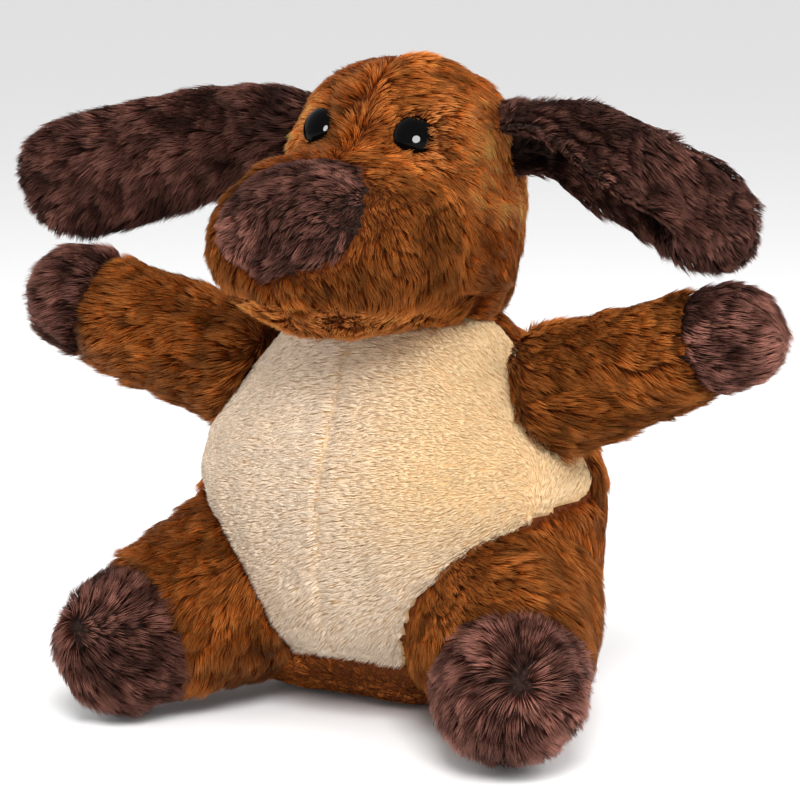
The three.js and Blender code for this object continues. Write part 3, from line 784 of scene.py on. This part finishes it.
def nap_ear(side):
    def f(p, n):
        s, c, d, i = ear_local(p, side)
        along = _ear[side][1][i]
        up = _ear[side][2][i]
        v = along + up * (c / 26.0)[:, None]
        if side == "left":
            # above the channel the pile runs up and along, so that the edge stays open
            u = s / EAR_LEN
            near = 1.2 * np.exp(-(((c - np.interp(u, EAR_EDGE[:, 0], EAR_EDGE[:, 1]) + 1.0) / 3.4) ** 2)) * (1 - smooth(0.58, 0.84, u))
            v = v + up * (0.75 * near)[:, None]
        if side == "right":
            v = v * np.array([-1.0, 1, 1])
        v = v @ HEAD_R.T + np.array([0, 0, -0.15])
        return tangent(n, v)
    return f


def look_ear(side):
    def f(p, n):
        s, c, d, i = ear_local(p, side)
        u = s / EAR_LEN
        if side == "left":
            tone = 0.26 + 0.28 * smooth(0.2, 0.95, u)
            edge = np.interp(u, EAR_EDGE[:, 0], EAR_EDGE[:, 1])
            open_ = 1 - smooth(0.60, 0.80, u)
            # painted shadow darkens the channel under the upper lobe, and a painted highlight lightens the upper lobe's
            # edge above it
            painted_channel_shadow = smooth(-2.2, -4.0, c - edge) * (1 - 0.90 * smooth(-7.2, -10.0, c - edge)) * open_
            low = smooth(-2.0, -4.0, c - edge) * open_
            painted_edge_highlight = smooth(-2.6, -0.8, c - edge) * (1 - smooth(2.0, 5.0, c - edge)) * open_
            tone = tone * (1 - 0.90 * painted_channel_shadow) * (1 + 0.25 * low + 0.3 * low * (1 - smooth(0.1, 0.25, u))) * (1 + 0.35 * painted_edge_highlight)
            return dict(lift=-0.02 - 0.25 * low, length=(1.0 - 0.45 * smooth(0.86, 1.0, u)) * (1 - 0.66 * np.exp(-(((c - edge + 3.2) / 4.2) ** 2)) * open_), tone=tone, swirl=1 - 0.6 * low)
        else:
            tone = 0.55 + 0.12 * smooth(0.5, 0.95, u)
        return dict(lift=-0.02, length=1.0 - 0.45 * smooth(0.86, 1.0, u), tone=tone)
    return f


def nap_limb(spec, side):
    sx = 1.0 if side == "left" else -1.0
    d = unit(spec["dir"]) * np.array([sx, 1, 1])

    def f(p, n):
        s, h = limb_local(p, spec, side)
        if spec is ARM:
            v = d + np.array([0, 0, -0.38])
        elif spec is LEG:
            # the thigh lies out and down; the foot whirls out from its upper middle
            out = np.array([sx * 0.75, 0.15, -0.75])
            centre = spec["root"] * np.array([sx, 1, 1]) + d * spec["tip"] + np.array([1.5, 0, 9.5])
            whirl = p - centre
            foot = smooth(spec["seam"] - 1, spec["seam"] + 1, s)
            v = out[None] * (1 - foot)[:, None] + (unit(whirl) + 0.35 * np.cross(d, unit(whirl)) + np.array([-0.1, 0, -0.2])) * foot[:, None]
        else:
            v = np.broadcast_to(d + np.array([0, 0, -0.3]), p.shape)
        return tangent(n, v)
    return f


def look_limb(spec, side):
    def f(p, n):
        s, h = limb_local(p, spec, side)
        end = smooth(spec["seam"] - 0.5, spec["seam"] + 0.5, s)
        if side == "left" and spec is ARM:
            end = end * 0.62
        if spec is TAIL:
            return dict(lift=0.1, tone=0.9)
        # paws and feet on the dog's right side are painted darker: painted shade on the side away from the light
        painted_side_shade = 0.72 if side == "right" else 1.0
        if spec is LEG:
            return dict(lift=0.05 + 0.08 * end, tone=0.70 + (painted_side_shade - 0.70) * end, length=1.0)
        return dict(lift=0.02, tone=0.70 + (painted_side_shade - 0.70) * end, length=1.0)
    return f


# ------------------------------------------------------------------ build each body's skin
NO = []


def limb_fn(spec, side):
    return lambda p: sdf_limb(p, spec, side)


bodies = {}
bodies["torso"] = dict(fn=sdf_torso, panels=torso_panels, names=TORSO_NAMES, lo=(-52, -45, -2), hi=(52, 45, 107), nap=nap_torso, look=look_torso, h=1.6)
bodies["head"] = dict(fn=sdf_head, panels=head_panels, names=HEAD_NAMES, lo=(-38, -64, 82), hi=(38, 30, 158), nap=nap_head, look=look_head, h=1.5)
for side in ("left", "right"):
    box = [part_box("ear_%s_%s_panel" % (side, w)) for w in ("front", "back")]
    lo = np.min([[c / MM for c in bx[0]] for bx in box], 0) - 12
    hi = np.max([[c / MM for c in bx[1]] for bx in box], 0) + 12
    bodies["ear_" + side] = dict(fn=(lambda s: (lambda p: sdf_ear(p, s)))(side), panels=ear_panels(side), names=["ear_%s_front_panel" % side, "ear_%s_back_panel" % side],
                                 lo=lo, hi=hi, nap=nap_ear(side), look=look_ear(side), h=1.3)
    for limb, spec, cap in (("arm", ARM, "paw"), ("leg", LEG, "foot")):
        d = unit(spec["dir"])
        ends = np.array([spec["root"] - spec["r0"] - 4, spec["root"] + spec["r0"] + 4, spec["root"] + d * spec["tip"] - spec["r1"] - 4, spec["root"] + d * spec["tip"] + spec["r1"] + 4])
        lo, hi = ends.min(0), ends.max(0)
        if side == "right":
            lo, hi = np.array([-hi[0], lo[1], lo[2]]), np.array([-lo[0], hi[1], hi[2]])
        bodies[limb + "_" + side] = dict(fn=limb_fn(spec, side), panels=limb_panels(spec, side), names=["%s_%s_upper_panel" % (limb, side), "%s_%s_lower_panel" % (limb, side), "%s_%s_%s_panel" % (limb, side, cap)],
                                         lo=lo, hi=hi, nap=nap_limb(spec, side), look=look_limb(spec, side), h=1.5)
d = unit(TAIL["dir"])
bodies["tail"] = dict(fn=limb_fn(TAIL, "left"), panels=(lambda p: (np.zeros(p.shape[:-1], int), np.full(p.shape[:-1], 9.0))), names=["tail_panel"],
                      lo=TAIL["root"] - 12, hi=TAIL["root"] + d * 27 + 10, nap=nap_limb(TAIL, "left"), look=look_limb(TAIL, "left"), h=1.2)


def kind_of(node):
    if node.startswith("belly"):
        return "cream"
    if node == "nose_patch" or node.startswith("ear_") or "paw" in node or "foot" in node:
        return "dark"
    return "brown"


PARENT = {"ear_left": "head", "ear_right": "head", "arm_left": "torso", "arm_right": "torso", "leg_left": "torso", "leg_right": "torso", "tail": "torso"}


def attach(obj, body, node):
    """Rides on its body for the torso, the head, a paw or a foot; any other piece only has its transform applied and
    stays where it is.
    """
    if body in ("torso", "head") or "paw" in node or "foot" in node:
        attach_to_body(obj, body)
        return
    if body.startswith("ear"):
        side = body[4:]
        s = 1.0 if side == "left" else -1.0
        at = ear_curve(side, np.array([0.0, 0.22]))
        at = at * np.array([s, 1, 1])
        at = from_head(at)
    else:
        spec = {"arm": ARM, "leg": LEG, "tai": TAIL}[body[:3]]
        s = -1.0 if body.endswith("right") else 1.0
        if spec is ARM:
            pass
        elif spec is LEG:
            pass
        else:
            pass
    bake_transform(obj)


fns = {k: v["fn"] for k, v in bodies.items()}
CUTS = {
    "torso": ["head", "arm_left", "arm_right", "leg_left", "leg_right", "tail"],
    "head": ["ear_left", "ear_right", "torso"],
}
seed = 100
for body, spec in bodies.items():
    panels = spec["panels"]
    lumps = {"torso": 0.7, "head": 0.6}.get(body, 0.5)
    pinch = {"tail": 0.0}.get(body, 0.9 if not body.startswith("ear") else 0.3)
    fn = stuffed(spec["fn"], panels, lumps, seed, pinch)
    V, Q = nets(fn, spec["lo"], spec["hi"], spec["h"] * (1.0))
    V = settle(fn, V)
    if body in ("torso", "leg_left", "leg_right", "arm_left", "arm_right"):
        V[:, 2] = np.maximum(V[:, 2], 0.25)
    N = unit(gradient(fn, V, 0.6))
    mid = V[Q].mean(1)
    label, _ = panels(mid)
    inside = [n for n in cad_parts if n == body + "_stuffing" or n == body + "_wadding"]
    if inside and body != "torso":
        deep = 1.5 if body.startswith("ear") else 2.6
        core = (lambda g, k: (lambda p: g(p) + k))(spec["fn"], deep)
        cv, cq = nets(core, spec["lo"], spec["hi"], 1.15 if body.startswith("ear") else 2.4)
        fill = new_object(inside[0] + "_fill", cv, cq.ravel(), np.arange(len(cq)) * 4)
        fill.data.materials.append(FIBRE)
        attach(fill, body, inside[0])
        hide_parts(inside[0])
    others = [fns[o] for o in CUTS.get(body, [PARENT.get(body)]) if o]
    for i, node in enumerate(spec["names"]):
        seed += 11
        q = Q[label == i]
        kind = kind_of(node)
        back = shell(node + "_backing", V, N, q, 1.0)
        back.data.materials.append(BACK_MAT[kind])
        attach(back, body, node)
        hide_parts(node)
        fur = pile(node, kind, V, N, q, spec["nap"], spec["look"], panels, i, fn, seed, others)
        if fur:
            attach(fur, body, node)
print("strands", STRANDS, flush=True)

# ------------------------------------------------------------------ eyes: glossy domes on their shanks


def turned(name, profile, at, out, segments=64):
    out = unit(out)
    ref = np.array([0, 0, 1.0])
    e1 = unit(np.cross(out, ref))
    e2 = np.cross(out, e1)
    V, F, S = [], [], []
    rings = []
    for r, h in profile:
        if r < 1e-6:
            rings.append([len(V)])
            V.append(at + out * h)
        else:
            rings.append(list(range(len(V), len(V) + segments)))
            for i in range(segments):
                a = 2 * math.pi * i / segments
                V.append(at + out * h + e1 * r * math.cos(a) + e2 * r * math.sin(a))
    for A, B in zip(rings, rings[1:]):
        for i in range(segments):
            j = (i + 1) % segments
            S.append(len(F))
            if len(A) == 1:
                F += [A[0], B[i], B[j]]
            elif len(B) == 1:
                F += [A[i], B[0], A[j]]
            else:
                F += [A[i], B[i], B[j], A[j]]
    obj = new_object(name, np.array(V), F, S)
    return obj


gloss, gt, gp = principled("eye_black_gloss")
gn = gt.nodes.new("ShaderNodeTexNoise"); gn.inputs["Scale"].default_value = 400
gr = gt.nodes.new("ShaderNodeValToRGB")
gr.color_ramp.elements[0].color = (0.0001, 0.0001, 0.0001, 1); gr.color_ramp.elements[1].color = (0.0004, 0.0003, 0.0003, 1)
gt.links.new(gn.outputs["Fac"], gr.inputs["Fac"]); gt.links.new(gr.outputs["Color"], gp.inputs["Base Color"])
gp.inputs["Roughness"].default_value = 0.04
gp.inputs["Specular IOR Level"].default_value = 0.06
for side, s in (("left", 1.0), ("right", -1.0)):
    at = from_head((EYE["at"] - np.array([0, 1.0, 112.0])) * np.array([s, 1, 1]))
    out = HEAD_R @ (unit(EYE["out"]) * np.array([s, 1, 1]))
    prof = [(0, -8.4), (1.1, -8.4), (1.6, -7.8), (1.7, -7.4), (1.7, -6.6), (1.5, -6.3), (1.7, -6.0), (1.7, 0.1), (4.3, 0.2), (4.8, 0.45), (5.0, 0.9)]
    for i in range(1, 15):
        an = i / 15 * math.pi / 2
        prof.append((5.0 * math.cos(an), 0.9 + 3.6 * math.sin(an)))
    prof.append((0, 4.5))
    eye = turned("eye_%s_dome" % side, prof, at, out)
    eye.data.materials.append(gloss)
    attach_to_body(eye, "head")
    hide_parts("eye_" + side)

# ------------------------------------------------------------------ care label: a blank folded satin tab
lo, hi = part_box("care_label")
lo, hi = np.array(lo) / MM, np.array(hi) / MM
lab = bpy.data.objects.new("care_label_tab", bpy.data.meshes.new("care_label_tab"))
turn = math.radians(20)
ux, uy = np.array([math.cos(turn), math.sin(turn), 0]), np.array([-math.sin(turn), math.cos(turn), 0])
origin = np.array([38.5, 11, 7.6])
nu, nv = 14, 16
grid, S, F = [], [], []
for sgn in (1, -1):
    for i in range(nu + 1):
        for j in range(nv + 1):
            u = 2.2 + (9.1 - 2.2) * i / nu
            w = -3.5 + 7 * j / nv
            bulge = 0.42 * math.sin(math.pi * min(1, (i / nu) * 1.0)) ** 0.5 * (1 - (abs(w) / 3.8) ** 8) + 0.12
            if i == nu:
                bulge = 0.10
            wave = 0.35 * math.sin(w * 0.45 + 0.6) * (i / nu)
            grid.append(origin + ux * u + uy * (sgn * bulge + wave) + np.array([0, 0, w]))
off = (nu + 1) * (nv + 1)
idx = lambda k, i, j: k * off + i * (nv + 1) + j
quads = []
for i in range(nu):
    for j in range(nv):
        quads.append([idx(0, i, j), idx(0, i, j + 1), idx(0, i + 1, j + 1), idx(0, i + 1, j)])
        quads.append([idx(1, i, j), idx(1, i + 1, j), idx(1, i + 1, j + 1), idx(1, i, j + 1)])
for i in range(nu):
    quads.append([idx(0, i, 0), idx(0, i + 1, 0), idx(1, i + 1, 0), idx(1, i, 0)])
    quads.append([idx(0, i, nv), idx(1, i, nv), idx(1, i + 1, nv), idx(0, i + 1, nv)])
for j in range(nv):
    quads.append([idx(0, nu, j), idx(0, nu, j + 1), idx(1, nu, j + 1), idx(1, nu, j)])
    quads.append([idx(0, 0, j), idx(1, 0, j), idx(1, 0, j + 1), idx(0, 0, j + 1)])
bpy.data.objects.remove(lab)
quads = np.array(quads)
lab = new_object("care_label_tab", np.array(grid), quads.ravel(), np.arange(len(quads)) * 4)
lm, lt, lp = principled("label_satin")
lw = lt.nodes.new("ShaderNodeTexWave"); lw.inputs["Scale"].default_value = 900; lw.inputs["Distortion"].default_value = 0.4
lc = lt.nodes.new("ShaderNodeTexCoord")
lr = lt.nodes.new("ShaderNodeValToRGB")
lr.color_ramp.elements[0].color = (0.70, 0.69, 0.76, 1); lr.color_ramp.elements[1].color = (0.84, 0.83, 0.88, 1)
lb = lt.nodes.new("ShaderNodeBump"); lb.inputs["Strength"].default_value = 0.3; lb.inputs["Distance"].default_value = 0.0001
lt.links.new(lc.outputs["Object"], lw.inputs["Vector"]); lt.links.new(lw.outputs["Fac"], lr.inputs["Fac"])
lt.links.new(lr.outputs["Color"], lp.inputs["Base Color"]); lt.links.new(lw.outputs["Fac"], lb.inputs["Height"]); lt.links.new(lb.outputs["Normal"], lp.inputs["Normal"])
lp.inputs["Roughness"].default_value = 0.45
lp.inputs["Sheen Weight"].default_value = 0.3
lab.data.materials.append(lm)
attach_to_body(lab, "torso")
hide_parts("care_label")

# ------------------------------------------------------------------ inside pieces keep their CAD shapes with proper materials


INNER = {
    "stuffing": FIBRE,
    "pouch": fibre("pouch_woven_cloth", (0.55, 0.51, 0.44), (0.75, 0.71, 0.63), 700, 0.9),
    "washer": fibre("washer_nylon", (0.80, 0.80, 0.78), (0.86, 0.86, 0.84), 120, 0.45),
}
for name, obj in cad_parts.items():
    key = "stuffing" if ("stuffing" in name or "wadding" in name) else "pouch" if name == "pellet_pouch" else "washer" if "washer" in name else None
    if key:
        obj.data.materials.clear()
        obj.data.materials.append(INNER[key])

# ------------------------------------------------------------------ floor, light and camera
bpy.ops.mesh.primitive_plane_add(size=120, location=(0, 0, 0))
floor = bpy.context.object
floor.name = "floor"
fm, ft, fp = principled("floor_white")
fp.inputs["Base Color"].default_value = (0.93, 0.93, 0.93, 1)
fp.inputs["Roughness"].default_value = 0.9
floor.data.materials.append(fm)

world = bpy.data.worlds.new("studio")
bpy.context.scene.world = world
world.use_nodes = True
world.node_tree.nodes["Background"].inputs["Color"].default_value = (1, 1, 1, 1)
world.node_tree.nodes["Background"].inputs["Strength"].default_value = 0.8

AZ, EL, DIST, AIM = math.radians(25), math.radians(10), 0.620, Vector((0, 0, 0.073))
toward = Vector((math.sin(AZ) * math.cos(EL), -math.cos(AZ) * math.cos(EL), math.sin(EL)))
cam_data = bpy.data.cameras.new("camera")
cam_data.sensor_width = 36
cam_data.lens = 4.1 * 620 / 800 * 36
cam_data.clip_start = 0.01
cam_data.clip_end = 200
cam = bpy.data.objects.new("camera", cam_data)
bpy.context.scene.collection.objects.link(cam)
cam.location = AIM + toward * DIST
cam.rotation_euler = (-toward).to_track_quat("-Z", "Y").to_euler()
bpy.context.scene.camera = cam


def area(name, at, size, power, target=(0, 0, 0.08), shape="SQUARE", color=(1, 1, 1)):
    light = bpy.data.lights.new(name, "AREA")
    light.energy = power
    light.size = size
    light.shape = shape
    light.color = color
    o = bpy.data.objects.new(name, light)
    bpy.context.scene.collection.objects.link(o)
    o.location = at
    o.rotation_euler = (Vector(at) - Vector(target)).to_track_quat("Z", "Y").to_euler()
    return o


key = area("key", (0.34, -0.70, 0.88), 0.5, 12.0)
rim = area("rim_right", (0.85, 0.05, 0.65), 0.6, 5.0)
fill_l = area("fill_left", (-0.8, -0.30, 0.45), 0.7, 1.5)
eyes_only = bpy.data.collections.new("eyes_only")
not_eyes = bpy.data.collections.new("not_eyes")
for side in ("left", "right"):
    eyes_only.objects.link(bpy.data.objects["eye_%s_dome" % side])
    not_eyes.objects.link(bpy.data.objects["eye_%s_dome" % side])
for entry in not_eyes.collection_objects:
    entry.light_linking.link_state = "EXCLUDE"
for lamp in (key, rim, fill_l):
    lamp.light_linking.receiver_collection = not_eyes
right_way = Vector((math.cos(AZ), math.sin(AZ), 0))
up_way = toward.cross(right_way)
lamp = area("ring", tuple(AIM + toward * 0.62 + right_way * 0.02 + up_way * 0.05), 0.34, 34.0, target=(0.01, -0.02, 0.138), shape="DISK")
lamp.light_linking.receiver_collection = eyes_only
bpy.context.scene.view_settings.view_transform = "Standard"
bpy.context.scene.view_settings.look = "None"
